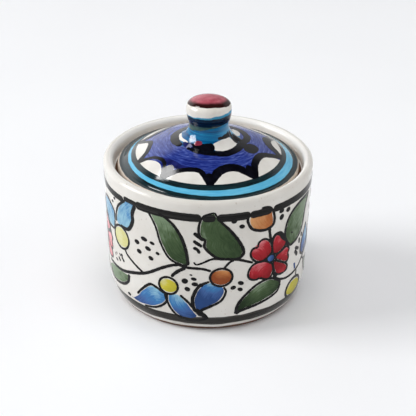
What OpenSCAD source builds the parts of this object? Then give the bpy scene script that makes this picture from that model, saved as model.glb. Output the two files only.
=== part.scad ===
// Round lidded jam pot in glazed earthenware, in millimetres.
// The origin is the centre of the base, on the table, with +Z up.
// Pot, lid and knob are turned shapes: each module turns a half section about Z.

/* [Pot] */
// Outside diameter at the rim
pot_d = 96; // [84:1:112]
// Height from the table to the crest of the rim
pot_h = 68; // [58:1:84]
// Thickness of the wall, and of the round lip on top of it
wall = 4.4; // [3.6:0.2:5.6]
// How far the wall leans in on each side between the rim and the belly curve
wall_lean = 2; // [0:0.5:4]
// Radius of the belly curve that turns the wall in to the foot
belly_r = 24; // [18:1:30]
// How far the foot stands in from the wall on each side
foot_inset = 5.5; // [3:0.5:8]
// Width of the ring that the pot stands on
foot_ring_w = 6; // [4:0.5:10]
// Depth of the hollow under the base, inside the foot ring
foot_hollow = 1.2; // [0.6:0.2:2.4]
// Thickness of the floor above the foot hollow
floor_t = 4.4; // [3.4:0.2:6]

/* [Lid seat] */
// Depth of the lid seat below the crest of the rim
seat_depth = 6.5; // [5:0.5:9]
// Width of the ledge that carries the lid
ledge_w = 4.6; // [3.6:0.2:6]
// Thickness of the ledge at its inner edge
ledge_t = 3; // [2:0.5:5]

/* [Lid] */
// Gap all round between the lid's edge and the inside of the rim
lid_gap = 2; // [0.6:0.2:2.4]
// Thickness of the lid's edge
lid_edge_t = 4; // [3.2:0.2:5.6]
// Rounding of the lid's edge
lid_edge_round = 1.4; // [0.6:0.2:1.5]
// Width of the flat brim between the dome and the lid's edge
brim_w = 2.4; // [2:0.2:5]
// Height of the dome above the brim
dome_rise = 12.4; // [9:0.2:18]
// Thickness of the dome
lid_wall = 4.2; // [3.2:0.2:5]

/* [Knob] */
// Diameter of the knob's flared foot
knob_foot_d = 29; // [24:1:36]
// Diameter of the knob's neck
knob_neck_d = 18; // [14:0.5:20]
// Height of the neck above the knob's foot
knob_neck_h = 8; // [7:0.5:11]
// Diameter of the knob's head
knob_head_d = 20.6; // [20:0.2:25]
// Height of the knob's head, from the neck to the crown
knob_head_h = 12.3; // [11:0.1:14]
// Radius of the barrel curve down the side of the head
head_curve_r = 12; // [11:0.5:16]
// Height of the widest part of the head above the neck
head_bulge_h = 6.2; // [5:0.2:7]
// Radius of the domed crown on top of the head
crown_r = 20; // [16:1:40]

/* [Hidden] */
$fn = 96;

// Air between the lid and its ledge, so that the two stay separate
seat_gap = 0.2;

// Pot
rim_r = pot_d / 2;
wall_r = rim_r - wall_lean;
lip_z = pot_h - wall / 2;
belly_x = wall_r - belly_r;
belly_h = sqrt(2 * belly_r * foot_inset - foot_inset * foot_inset);
foot_r = wall_r - foot_inset;
floor_z = foot_hollow + floor_t;

// Lid seat
recess_r = rim_r - wall;
seat_z = pot_h - seat_depth;
mouth_r = recess_r - ledge_w;
ledge_root_r = rim_r - wall / 2;
ledge_root_z = seat_z - ledge_t - (ledge_root_r - mouth_r);

// Lid
lid_r = recess_r - lid_gap;
lid_z = seat_z + seat_gap;
brim_z = lid_z + lid_edge_t;
dome_a = lid_r - brim_w;
dome_r = (dome_a * dome_a + dome_rise * dome_rise) / (2 * dome_rise);
dome_z = brim_z + dome_rise - dome_r;

// Knob
knob_foot_r = knob_foot_d / 2;
knob_neck_r = knob_neck_d / 2;
knob_head_r = knob_head_d / 2;
knob_z = dome_z + sqrt(dome_r * dome_r - knob_foot_r * knob_foot_r);
neck_z = knob_z + knob_neck_h;
crown_z = neck_z + knob_head_h;
bulge_z = neck_z + head_bulge_h;
// The flare leaves the neck upright, or runs out flat on a foot wider than the neck is high
flare_w = knob_foot_r - knob_neck_r;
flare_r = (flare_w * flare_w + knob_neck_h * knob_neck_h) / (2 * min(flare_w, knob_neck_h));
flare_x = flare_w < knob_neck_h ? knob_neck_r + flare_r : knob_foot_r;
flare_z = flare_w < knob_neck_h ? neck_z : knob_z + flare_r;

// A rectangle from the axis out to radius r, between two heights
module disc_section(r, low, high) {
    translate([0, low]) square([r, high - low]);
}

// A solid turned shape that follows the wall and the belly, drawn in by inset and standing on low
module turned_bowl_section(inset, low) {
    polygon([
        [0, belly_h], [wall_r - inset, belly_h],
        [rim_r - inset, lip_z], [0, lip_z]
    ]);
    disc_section(belly_x, low, lip_z);
    intersection() {
        translate([belly_x, belly_h]) circle(belly_r - inset);
        disc_section(wall_r, low, lip_z);
    }
}

// The ledge inside the rim, with a sloping underside that runs into the wall
module ledge_section() {
    polygon([
        [mouth_r, seat_z], [ledge_root_r, seat_z],
        [ledge_root_r, ledge_root_z], [mouth_r, seat_z - ledge_t]
    ]);
}

// The rounded top of the lip, above the straight wall
module lip_section() {
    intersection() {
        translate([rim_r - wall / 2, lip_z]) circle(wall / 2);
        disc_section(rim_r, lip_z, pot_h);
    }
}

// The space inside the pot, up to the lip and past the ledge
module cavity_section() {
    difference() {
        turned_bowl_section(wall, floor_z);
        ledge_section();
    }
}

// Wall, floor, foot ring, round lip and lid ledge, in one piece of clay
module pot_body() {
    color("ivory") rotate_extrude() {
        difference() {
            turned_bowl_section(0, 0);
            cavity_section();
            disc_section(foot_r - foot_ring_w, 0, foot_hollow);
        }
        lip_section();
    }
}

// The lid's flat brim with its rounded edge
module brim_section() {
    disc_section(lid_r - lid_edge_round, lid_z, brim_z);
    disc_section(lid_r, lid_z + lid_edge_round, brim_z - lid_edge_round);
    for (z = [lid_z + lid_edge_round, brim_z - lid_edge_round])
        translate([lid_r - lid_edge_round, z]) circle(lid_edge_round);
}

// A hollow dome on a flat brim, with a flat pad on top for the knob
module lid_dome() {
    color("royalblue") rotate_extrude() difference() {
        union() {
            brim_section();
            intersection() {
                translate([0, dome_z]) circle(dome_r);
                disc_section(dome_a, lid_z, knob_z);
            }
        }
        intersection() {
            translate([0, dome_z]) circle(dome_r - lid_wall);
            disc_section(dome_r, lid_z, knob_z);
        }
    }
}

// The knob: a flared foot that narrows to a neck under a barrel-shaped head
module lid_knob() {
    color("deepskyblue") rotate_extrude() {
        difference() {
            disc_section(knob_foot_r, knob_z, neck_z);
            translate([flare_x, flare_z]) circle(flare_r);
        }
        intersection() {
            translate([knob_head_r - head_curve_r, bulge_z]) circle(head_curve_r);
            translate([0, crown_z - crown_r]) circle(crown_r);
            disc_section(knob_head_r, neck_z, crown_z);
        }
    }
}

pot_body();
lid_dome();
lid_knob();
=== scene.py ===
# %% [markdown]
# # A hand-painted jam pot
#
# The real object is three pieces of fired clay: a pot, a lid and a knob that was stuck on the lid. All
# three were turned on a wheel, covered with cream slip, painted with a brush and dipped in clear glaze.
# This lesson follows the potter: first the turned clay, then the paint, then the light.

# %% Load the frame
import math
import random

import bpy
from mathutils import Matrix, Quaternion, Vector
from mathutils.geometry import interpolate_bezier, intersect_sphere_sphere_2d


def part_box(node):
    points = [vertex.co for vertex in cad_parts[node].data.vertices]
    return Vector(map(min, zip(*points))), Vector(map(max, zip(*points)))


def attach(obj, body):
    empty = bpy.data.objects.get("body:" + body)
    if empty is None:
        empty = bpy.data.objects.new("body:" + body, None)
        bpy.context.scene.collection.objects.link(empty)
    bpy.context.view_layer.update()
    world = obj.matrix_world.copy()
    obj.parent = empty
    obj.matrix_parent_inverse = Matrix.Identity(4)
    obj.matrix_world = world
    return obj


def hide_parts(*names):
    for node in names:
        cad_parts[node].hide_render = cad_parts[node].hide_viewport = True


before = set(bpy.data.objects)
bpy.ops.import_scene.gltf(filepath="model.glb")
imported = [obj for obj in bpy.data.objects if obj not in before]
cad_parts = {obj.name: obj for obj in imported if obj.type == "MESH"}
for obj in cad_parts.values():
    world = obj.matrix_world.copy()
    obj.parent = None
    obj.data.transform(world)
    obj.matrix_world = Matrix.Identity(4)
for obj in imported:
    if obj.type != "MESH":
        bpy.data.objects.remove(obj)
scene = bpy.context.scene
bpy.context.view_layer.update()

# %% [markdown]
# ## Sizes
#
# The CAD solids fix the size, so the main measures are read from their boxes. The smaller ones repeat
# the named sizes of the solids. Blender works in metres here, and a painter's sizes are easier to read
# in millimetres, so MM turns one into the other.

# %% Sizes of the pot
MM = 0.001
pot_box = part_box("pot_body")
lid_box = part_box("lid_dome")
knob_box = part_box("lid_knob")

wall = 4.4 * MM
wall_lean = 2 * MM
belly_r = 24 * MM
foot_inset = 5.5 * MM
foot_ring_w = 6 * MM
foot_hollow = 1.2 * MM
floor_t = 4.4 * MM
seat_depth = 6.5 * MM
ledge_w = 4.6 * MM
ledge_t = 3 * MM

rim_r = pot_box[1].x
pot_h = pot_box[1].z
wall_r = rim_r - wall_lean
lip_z = pot_h - wall / 2
belly_x = wall_r - belly_r
foot_r = wall_r - foot_inset
belly_h = math.sqrt(belly_r**2 - (foot_r - belly_x) ** 2)
ring_in_r = foot_r - foot_ring_w
floor_z = foot_hollow + floor_t
recess_r = rim_r - wall
seat_z = pot_h - seat_depth
mouth_r = recess_r - ledge_w
print("rim radius and pot height in mm:", round(rim_r / MM, 2), round(pot_h / MM, 2))

# %% Sizes of the lid and the knob
lid_edge_t = 4 * MM
lid_edge_round = 1.4 * MM
brim_w = 2.4 * MM
dome_rise = 12.4 * MM
lid_wall = 4.2 * MM

lid_r = lid_box[1].x
lid_z = lid_box[0].z
brim_z = lid_z + lid_edge_t
dome_a = lid_r - brim_w
dome_r = (dome_a**2 + dome_rise**2) / (2 * dome_rise)
dome_z = brim_z + dome_rise - dome_r

knob_neck_r = 9 * MM
knob_neck_h = 8 * MM
head_r = 10.3 * MM
head_curve_r = 12 * MM
head_bulge_h = 6.2 * MM
crown_r = 20 * MM

knob_foot_r = knob_box[1].x
knob_z = knob_box[0].z
crown_z = knob_box[1].z
neck_z = knob_z + knob_neck_h
bulge_z = neck_z + head_bulge_h
flare_w = knob_foot_r - knob_neck_r
flare_r = (flare_w**2 + knob_neck_h**2) / (2 * flare_w)
flare_x = knob_neck_r + flare_r
print("lid and knob foot radii in mm:", round(lid_r / MM, 2), round(knob_foot_r / MM, 2))

# %% [markdown]
# ## Building nodes in code
#
# A node tree is easiest to read when each line of code is one node. `node` adds a node and links or
# sets its inputs in one go, `result_of` hands on its first output, and `calc` is a single Math node, so
# a formula in code looks like the formula on paper. All of them work in materials and in Geometry
# Nodes.


# %% Node helpers
def node(tree, kind, inputs=None, **options):
    """Adds a node, sets its options, and links or sets the inputs that are given."""
    made = tree.nodes.new(kind)
    for key, value in options.items():
        setattr(made, key, value)
    for key, value in (inputs or {}).items():
        if isinstance(value, bpy.types.NodeSocket):
            tree.links.new(value, made.inputs[key])
        else:
            made.inputs[key].default_value = value
    return made


def result_of(tree, kind, inputs=None, **options):
    """Adds a node and gives its first output."""
    return node(tree, kind, inputs, **options).outputs[0]


def calc(tree, operation, first, second=0.0, third=0.0):
    """One Math node."""
    return result_of(tree, "ShaderNodeMath", {0: first, 1: second, 2: third}, operation=operation)


def swing(tree, share, reach):
    """A share from 0 to 1, turned into a move of up to reach to either side."""
    return calc(tree, "MULTIPLY_ADD", share, 2 * reach, -reach)


def vector_of(tree, x=0.0, y=0.0, z=0.0):
    """Three numbers as one vector."""
    return result_of(tree, "ShaderNodeCombineXYZ", {0: x, 1: y, 2: z})


def parts_of(tree, vector):
    """A vector's X, Y and Z."""
    return node(tree, "ShaderNodeSeparateXYZ", {0: vector}).outputs


def vector_calc(tree, operation, first, second=(0, 0, 0), scale=1.0):
    """One Vector Math node that gives a vector."""
    return result_of(tree, "ShaderNodeVectorMath", {0: first, 1: second, 3: scale}, operation=operation)


def length_of(tree, vector):
    """How long a vector is."""
    return node(tree, "ShaderNodeVectorMath", {0: vector}, operation="LENGTH").outputs[1]


# %% [markdown]
# ## Trees that make pieces
#
# A Geometry Nodes tree is a small machine: a section or a drawing goes in, and a piece comes out. It
# could stay on the object as a live modifier. Here each machine runs once and only its result is kept,
# as a plain mesh, so that the piece can be moved and exported without its tree. Points that meet in a
# seam are merged.

# %% Tree helpers
seam_gap = 0.001 * MM


def new_tree(name, inputs, output=("Geometry", "NodeSocketGeometry")):
    """An empty node group for Geometry Nodes, with its named inputs and its one output."""
    tree = bpy.data.node_groups.new(name, "GeometryNodeTree")
    for label, kind in inputs:
        tree.interface.new_socket(label, in_out="INPUT", socket_type=kind)
    tree.interface.new_socket(output[0], in_out="OUTPUT", socket_type=output[1])
    return tree, tree.nodes.new("NodeGroupInput").outputs, tree.nodes.new("NodeGroupOutput").inputs


def make_piece(name, source, tree, values):
    """Runs a Geometry Nodes tree on a source object and keeps the result as a plain mesh."""
    scene.collection.objects.link(source)
    modifier = source.modifiers.new(tree.name, "NODES")
    modifier.node_group = tree
    for item in tree.interface.items_tree:
        if item.in_out == "INPUT" and item.name in values:
            modifier[item.identifier] = values[item.name]
    depsgraph = bpy.context.evaluated_depsgraph_get()
    mesh = bpy.data.meshes.new_from_object(source.evaluated_get(depsgraph), depsgraph=depsgraph)
    source.modifiers.remove(modifier)
    bpy.data.objects.remove(source)
    piece = bpy.data.objects.new(name, mesh)
    scene.collection.objects.link(piece)
    mesh.calc_loop_triangles()
    print(name, "has", len(mesh.loop_triangles), "triangles")
    return piece


# %% [markdown]
# ## Clay from the wheel
#
# A turned piece is one half section spun about the wheel's axis. The Spin tool or a Screw modifier
# could do it. Here a Geometry Nodes tree sweeps the section round a circle, because the same tree can
# then push the surface in and out by a fraction of a millimetre, as a potter's hands do. That push is a
# small group of its own: the paint goes through it too, later on, and so lies on the clay everywhere.

# %% The hand's wobble
wobble_scale = 34.0
wobble_reach = 0.25 * MM
wobble_tree, (place, scale, reach, _), wobble_out = new_tree(
    "hand wobble",
    [("Position", "NodeSocketVector"), ("Scale", "NodeSocketFloat"), ("Reach", "NodeSocketFloat")],
    ("Position", "NodeSocketVector"),
)
unevenness = result_of(wobble_tree, "ShaderNodeTexNoise", {"Vector": place, "Scale": scale, "Detail": 1.0})
push = calc(wobble_tree, "MULTIPLY", swing(wobble_tree, unevenness, 1.0), reach)
outward = vector_calc(wobble_tree, "NORMALIZE", vector_calc(wobble_tree, "MULTIPLY", place, (1, 1, 0)))
pushed = vector_calc(wobble_tree, "ADD", place, vector_calc(wobble_tree, "SCALE", outward, scale=push))
wobble_tree.links.new(pushed, wobble_out[0])
print("the wobble group has", len(wobble_tree.nodes), "nodes")


def wobbled(tree, position):
    """The same place after the hand's wobble."""
    inputs = {0: position, 1: wobble_scale, 2: wobble_reach}
    return result_of(tree, "GeometryNodeGroup", inputs, node_tree=wobble_tree)


# %% [markdown]
# The wheel itself is Curve to Mesh: a circle is the path and the half section is the profile. The
# section is drawn at a distance from the path, the spindle's radius, so that its inner end comes to lie
# on the axis. The points that meet there are merged, and the wobble comes after that, so the shell
# stays closed.

# %% The wheel
spindle_r = 0.1
wheel_tree, (section, spindle, sides, finish, _), wheel_out = new_tree(
    "turned on the wheel",
    [
        ("Section", "NodeSocketGeometry"),
        ("Spindle", "NodeSocketFloat"),
        ("Sides", "NodeSocketInt"),
        ("Finish", "NodeSocketMaterial"),
    ],
)
path = result_of(wheel_tree, "GeometryNodeCurvePrimitiveCircle", {"Resolution": sides, "Radius": spindle})
spun = result_of(wheel_tree, "GeometryNodeCurveToMesh", {"Curve": path, "Profile Curve": section})
closed = result_of(wheel_tree, "GeometryNodeMergeByDistance", {"Geometry": spun, "Distance": seam_gap})
place = wobbled(wheel_tree, result_of(wheel_tree, "GeometryNodeInputPosition"))
shaped = result_of(wheel_tree, "GeometryNodeSetPosition", {"Geometry": closed, "Position": place})
smoothed = result_of(wheel_tree, "GeometryNodeSetShadeSmooth", {"Geometry": shaped})
real = result_of(wheel_tree, "GeometryNodeRealizeInstances", {"Geometry": smoothed})
done = result_of(wheel_tree, "GeometryNodeSetMaterial", {"Geometry": real, "Material": finish})
wheel_tree.links.new(done, wheel_out[0])
print("the wheel tree has", len(wheel_tree.nodes), "nodes")

# %% [markdown]
# ### Half sections
#
# A potter's profile is made of a few arcs and straight lines, with corners that a wet sponge has
# softened. It could be drawn by hand as a Bezier curve. Worked out from the sizes it stays right when a
# size changes, so these helpers give arcs, softened corners, and enough points on the straight
# stretches for the wobble.


# %% Section helpers
def arc(x, z, radius, start, end, count=12):
    """Points on an arc about (x, z), from one angle to another in degrees."""
    angles = [math.radians(start + (end - start) * i / count) for i in range(count + 1)]
    return [Vector((x + radius * math.cos(a), z + radius * math.sin(a))) for a in angles]


def eased(start, at, end, count):
    """Points on a smooth turn from start to end, pulled towards the corner between them."""
    start, at, end = Vector(start), Vector(at), Vector(end)
    return interpolate_bezier(start, start.lerp(at, 0.6), end.lerp(at, 0.6), end, count)


def corner(before, at, after, radius, count=5):
    """The corner between two straight lines, rounded off."""
    before, at, after = Vector(before), Vector(at), Vector(after)
    back, on = (before - at).normalized(), (after - at).normalized()
    reach = radius / math.tan(back.angle(on) / 2)
    return eased(at + back * reach, at, at + on * reach, count)


def divided(section, longest=1.6 * MM):
    """The same section with points added along its straight stretches, so that it can wobble."""
    fine = [Vector(section[0])]
    for point in section[1:]:
        start = fine[-1]
        step = Vector(point) - start
        count = max(1, math.ceil(step.length / longest))
        fine += [start + step * (i + 1) / count for i in range(count)]
    return fine


def turned(name, section, finish, sides=360):
    """Spins a half section, given from the top of the axis outwards and down, into a piece of clay."""
    data = bpy.data.curves.new(name + " section", "CURVE")
    data.dimensions = "3D"
    points = divided(section)
    spline = data.splines.new("POLY")
    spline.points.add(len(points) - 1)
    for target, (r, z) in zip(spline.points, points):
        target.co = (r - spindle_r, -z, 0, 1)
    source = bpy.data.objects.new(name + " section", data)
    return make_piece(name, source, wheel_tree, {"Spindle": spindle_r, "Sides": sides, "Finish": finish})


# %% [markdown]
# ## Glazes and paints
#
# Every surface is the same thing: colour under one coat of clear glaze. So each material is a
# Principled BSDF with a low roughness, and what differs is the colour. Flat colours would look printed.
# A brush leaves streaks along its path, and glaze runs thin and thick, so each colour is stretched
# noise through a colour ramp. Noise that is squeezed in one direction gives streaks: round the wall it
# is slow in X and Y and quick in Z.


# %% Colour helpers
def srgb(red, green, blue):
    """A colour as a picture gives it, from 0 to 255, as the linear colour that a shader takes."""
    shares = [channel / 255 for channel in (red, green, blue)]
    linear = [s / 12.92 if s <= 0.04045 else ((s + 0.055) / 1.055) ** 2.4 for s in shares]
    return (*linear, 1.0)


def new_finish(name, roughness=0.1, gloss=0.5):
    """A material with a glossy Principled BSDF, and its tree."""
    finish = bpy.data.materials.new(name)
    finish.use_nodes = True
    tree = finish.node_tree
    shader = tree.nodes["Principled BSDF"]
    shader.inputs["Roughness"].default_value = roughness
    shader.inputs["IOR"].default_value = 1.45
    shader.inputs["Specular IOR Level"].default_value = gloss
    return finish, tree, shader


def noise(tree, vector, scale, detail=2.0):
    """Noise from 0 to 1 on the given vector."""
    inputs = {"Vector": vector, "Scale": scale, "Detail": detail, "Roughness": 0.55}
    return result_of(tree, "ShaderNodeTexNoise", inputs)


def ramp(tree, value, *stops):
    """A colour ramp through stops, each a place from 0 to 1 and a colour from 0 to 255."""
    made = node(tree, "ShaderNodeValToRGB", {0: value})
    elements = made.color_ramp.elements
    while len(elements) < len(stops):
        elements.new(0.5)
    for element, (place, colour) in zip(elements, stops):
        element.position = place
        element.color = srgb(*colour)
    return made.outputs[0]


def mixed(tree, share, under, over):
    """One colour laid over another, by share."""
    made = node(tree, "ShaderNodeMix", {0: share, 6: under, 7: over}, data_type="RGBA")
    return made.outputs[2]


def dimpled(tree, shader, height, depth):
    """Very low bumps on the glaze."""
    bump = result_of(tree, "ShaderNodeBump", {"Height": height, "Distance": depth, "Strength": 0.5})
    tree.links.new(bump, shader.inputs["Normal"])


# %% [markdown]
# Where a colour starts and stops is a mask from 0 to 1. On a turned piece nearly every edge goes by the
# height or by the distance from the axis, so a mask is a soft step in one of the two. Both are read
# from Object coordinates, which are metres on the piece itself.


# %% Mask helpers
def step_up(tree, value, edge, soft):
    """0 below the edge and 1 above it, with a soft change."""
    moving = isinstance(edge, bpy.types.NodeSocket)
    full = calc(tree, "ADD", edge, soft) if moving else edge + soft
    inputs = {"Value": value, "From Min": edge, "From Max": full, "To Min": 0.0, "To Max": 1.0}
    return result_of(tree, "ShaderNodeMapRange", inputs, interpolation_type="SMOOTHSTEP")


def step_down(tree, value, edge, soft):
    """1 below the edge and 0 above it, with a soft change."""
    return calc(tree, "SUBTRACT", 1.0, step_up(tree, value, edge, soft))


def place_of(tree):
    """Object coordinates as a vector, and as X, Y and Z."""
    place = node(tree, "ShaderNodeTexCoord").outputs["Object"]
    return place, parts_of(tree, place)


def squeezed(tree, vector, x, y, z):
    """A vector scaled along each axis, so that noise on it turns into streaks."""
    return vector_calc(tree, "MULTIPLY", vector, (x, y, z))


def radius_of(tree, place, across=0.0, back=0.0, squash=1.0):
    """The distance from an upright axis, which may stand off centre by some millimetres."""
    off_centre = vector_calc(tree, "SUBTRACT", place, (across * MM, back * MM, 0))
    return length_of(tree, squeezed(tree, off_centre, 1, squash, 0))


def around(tree, place, turns, rings):
    """A vector that is slow round the axis and quick along the radius."""
    flat = squeezed(tree, place, 1, 1, 0)
    spread = vector_calc(tree, "SCALE", vector_calc(tree, "NORMALIZE", flat), scale=turns)
    height = calc(tree, "MULTIPLY", length_of(tree, flat), rings)
    return vector_calc(tree, "ADD", spread, vector_of(tree, z=height))


# %% [markdown]
# ### The cream pot
#
# The pot's finish has four parts. Cream glaze covers most of it. A broad grey band was brushed round
# the base while the wheel turned. Inside the rim, above the ledge, the cream is made paler, as painted
# light. The foot and the lid's ledge were wiped clean, and show bare clay, made dark; on the ledge that
# darkness is partly painted shade for the gap under the lid. Four materials could share the mesh, but
# then their borders would follow its edges. In one material with masks the borders waver, as the brush
# and the sponge left them.

# %% Cream glaze and grey base band
thin_glaze = 0.15
band_low_z = 3.4 * MM
band_high_z = 8.6 * MM
cream_finish, tree, shader = new_finish("cream_glaze", gloss=thin_glaze)
place, (x, y, z) = place_of(tree)
blush = noise(tree, place, 38, 3)
cream = ramp(tree, blush, (0.3, (214, 210, 203)), (0.55, (222, 219, 213)), (0.75, (227, 225, 220)))
speck = step_up(tree, noise(tree, place, 1100, 0), 0.79, 0.03)
cream = mixed(tree, calc(tree, "MULTIPLY", speck, 0.3), cream, srgb(150, 120, 92))

streak = noise(tree, squeezed(tree, place, 14, 14, 1500), 1, 2)
edge_wave = swing(tree, noise(tree, place, 90, 2), 0.8 * MM)
wavy_z = calc(tree, "MULTIPLY_ADD", x, -0.006, calc(tree, "ADD", z, edge_wave))
band_low = step_up(tree, wavy_z, band_low_z, 0.7 * MM)
band_high = step_down(tree, wavy_z, band_high_z, 0.4 * MM)
base_band = calc(tree, "MULTIPLY", band_low, band_high)
thin = calc(tree, "MULTIPLY_ADD", streak, -0.45, 1.25)
base_band = calc(tree, "MINIMUM", calc(tree, "MULTIPLY", base_band, thin), 0.99)
band_colour = ramp(tree, streak, (0.35, (13, 12, 11)), (0.65, (56, 53, 48)))
radius = radius_of(tree, place)
outside = step_up(tree, radius, foot_r + 0.7 * MM, 0.6 * MM)
colour = mixed(tree, calc(tree, "MULTIPLY", base_band, outside), cream, band_colour)

# %% Painted light inside the rim, and bare clay
# Painted light: inside the rim, above the ledge, the cream is made paler.
inside_lip = step_down(tree, radius, rim_r - wall / 2 - 0.8 * MM, 1.0 * MM)
painted_light_inside_rim = calc(tree, "MULTIPLY", inside_lip, step_up(tree, z, seat_z - 1.0 * MM, 0.5 * MM))
colour = mixed(tree, painted_light_inside_rim, colour, srgb(246, 243, 238))

foot_bare = step_down(tree, wavy_z, 1.5 * MM, 0.5 * MM)
inside_rim = step_down(tree, radius, recess_r - 1.0 * MM, 0.3 * MM)
seat_bare = calc(tree, "MULTIPLY", inside_rim, step_up(tree, wavy_z, seat_z - 0.8 * MM, 0.3 * MM))
bare = calc(tree, "MAXIMUM", foot_bare, seat_bare)
# Bare clay, dark brown. On the ledge under the lid this darkness partly stands in for the shade in the gap,
# as painted shade.
clay = mixed(tree, noise(tree, place, 420, 3), srgb(118, 86, 66), srgb(88, 62, 48))
colour = mixed(tree, bare, colour, clay)
tree.links.new(colour, shader.inputs["Base Color"])
tree.links.new(calc(tree, "MULTIPLY_ADD", bare, 0.65, 0.1), shader.inputs["Roughness"])
dimpled(tree, shader, noise(tree, squeezed(tree, place, 30, 30, 260), 1, 2), 0.05 * MM)
print(cream_finish.name, "has", len(tree.nodes), "nodes")

# %% [markdown]
# ### The cobalt lid
#
# The lid was painted on the wheel too: a dark ring, a turquoise ring and a second dark ring, then a
# field of cobalt laid on with a wide brush. A spherical gradient could give such rings, but all of them
# about one centre. On the real lid they sit a little off it, so here it is one colour over another,
# each from its own radius and its own axis outwards. The cobalt streaks run round, which is noise that
# is slow round the axis and quick along the radius. The edge and the underside were left bare.

# %% Cobalt field and painted rings
cobalt_finish, tree, shader = new_finish("cobalt_glaze", 0.08)
place, (x, y, z) = place_of(tree)
brush = noise(tree, around(tree, place, 5.0, 1500), 1, 3)
cloud = noise(tree, place, 70, 2)
depth = calc(tree, "ADD", calc(tree, "MULTIPLY", brush, 0.75), calc(tree, "MULTIPLY", cloud, 0.35))
# Painted reflection: the field is made paler towards the back and the sides, so the front stays darkest.
painted_sheen_back_and_sides = calc(tree, "MULTIPLY_ADD", calc(tree, "MULTIPLY", x, x), 60.0, calc(tree, "MULTIPLY", y, 2.0))
depth = calc(tree, "ADD", depth, painted_sheen_back_and_sides)
field_shades = ((0.35, (14, 24, 98)), (0.5, (34, 51, 130)), (0.62, (62, 80, 156)), (0.78, (114, 128, 194)))
colour = ramp(tree, depth, *field_shades)

wave = swing(tree, noise(tree, place, 120, 2), 0.3 * MM)
dark = ramp(tree, brush, (0.3, (10, 24, 28)), (0.7, (26, 52, 58)))
turquoise = ramp(tree, brush, (0.3, (78, 172, 214)), (0.7, (112, 196, 228)))
clay = mixed(tree, noise(tree, place, 420, 3), srgb(218, 205, 192), srgb(198, 180, 162))
# The radius where each ring starts, how far its axis stands across and back, and its paint.
lid_rings = (
    (33.0, 0, 0, dark),
    (35.4, 0.1, -0.3, turquoise),
    (37.5, 0.9, -0.6, dark),
    (40.8, 0.1, 0, clay),
)
for edge, across, back, paint in lid_rings:
    ring_r = calc(tree, "ADD", radius_of(tree, place, across, back), wave)
    share = step_up(tree, ring_r, edge * MM, 0.18 * MM)
    colour = mixed(tree, share, colour, paint)

normal = node(tree, "ShaderNodeNewGeometry").outputs["Normal"]
under = calc(tree, "LESS_THAN", parts_of(tree, normal)[2], -0.05)
bare = calc(tree, "MAXIMUM", under, share)
tree.links.new(mixed(tree, under, colour, clay), shader.inputs["Base Color"])
tree.links.new(calc(tree, "MULTIPLY_ADD", bare, 0.5, 0.08), shader.inputs["Roughness"])
dimpled(tree, shader, brush, 0.02 * MM)
print(cobalt_finish.name, "has", len(tree.nodes), "nodes")

# %% [markdown]
# ### The banded knob
#
# The knob was painted from the top down: cream under the crown, then turquoise, navy, green and a sky
# blue that runs out over the foot. A material for each loop of faces would give hard, level bands. A
# brush held to a turning knob never gets quite level, so here each band is a mask whose edge leans a
# little in X and wavers with noise. On the right side the sky blue is made paler, as painted light. The
# crown has a dark rim, wider at the front, and a pink-red middle, two more masks by radius; the pink and
# the wide dark front are partly painted reflection.

# %% Knob in painted bands
knob_finish, tree, shader = new_finish("knob_glaze", 0.08, 0.3)
place, (x, y, z) = place_of(tree)
brush = noise(tree, squeezed(tree, place, 60, 60, 1400), 1, 3)
wave = swing(tree, noise(tree, place, 260, 2), 0.6 * MM)
height = calc(tree, "ADD", z, wave)
turquoise = ramp(tree, brush, (0.3, (30, 120, 160)), (0.7, (70, 160, 195)))
navy = ramp(tree, brush, (0.3, (0, 8, 30)), (0.7, (4, 40, 68)))
green = ramp(tree, brush, (0.3, (30, 66, 70)), (0.7, (74, 104, 96)))
sky = ramp(tree, brush, (0.3, (0, 60, 104)), (0.5, (0, 98, 150)), (0.7, (20, 134, 180)))
# Painted light: the sky blue is mixed paler towards the knob's right side.
painted_light_right = calc(tree, "MULTIPLY", step_up(tree, x, 3 * MM, 6 * MM), 0.45)
sky = mixed(tree, painted_light_right, sky, srgb(112, 180, 216))
colour = ramp(tree, noise(tree, place, 120, 3), (0.3, (214, 209, 200)), (0.7, (238, 236, 231)))
# Each paint, the height of its upper edge in millimetres, and how much that edge leans.
knob_bands = ((turquoise, 90.9, 0.11), (navy, 90.0, 0.05), (green, 85.7, 0.06), (sky, 84.6, 0.22))
for paint, level, lean in knob_bands:
    edge = calc(tree, "MULTIPLY_ADD", x, lean, level * MM)
    colour = mixed(tree, step_down(tree, height, edge, 0.15 * MM), colour, paint)

# %% The crown of the knob
# The pink middle and the wide dark crescent at the front of the crown are partly painted reflection; the
# red is set back on its own axis so that the dark shows wider in front.
red = ramp(tree, noise(tree, place, 300, 2), (0.3, (160, 66, 80)), (0.7, (192, 102, 114)))
near_top = step_up(tree, z, crown_z - 3 * MM, 0.1 * MM)
# Each paint, its radius, how far its axis stands across and back, and how softly it ends.
crown_coats_with_painted_sheen = ((srgb(44, 16, 14), 9.7, 0, 0.3, 0.2), (red, 6.9, -0.4, 1.7, 2.5))
for paint, edge, across, back, soft in crown_coats_with_painted_sheen:
    radius = calc(tree, "ADD", radius_of(tree, place, across, back, squash=1.12), wave)
    inside = step_down(tree, radius, edge * MM, soft * MM)
    colour = mixed(tree, calc(tree, "MULTIPLY", near_top, inside), colour, paint)
tree.links.new(colour, shader.inputs["Base Color"])
dimpled(tree, shader, brush, 0.02 * MM)
print(knob_finish.name, "has", len(tree.nodes), "nodes")

# %% [markdown]
# ## The turned pieces
#
# Each half section runs from the top of the axis outwards and down, so that all faces point out of the
# clay. The pot's starts on the floor inside, climbs the belly to the ledge that carries the lid, goes
# over the round lip, and comes down outside to the foot ring and the shallow hollow under the base. A
# cylinder could be modelled by hand with loop cuts, but then none of these edges would follow the sizes
# above.

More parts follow.
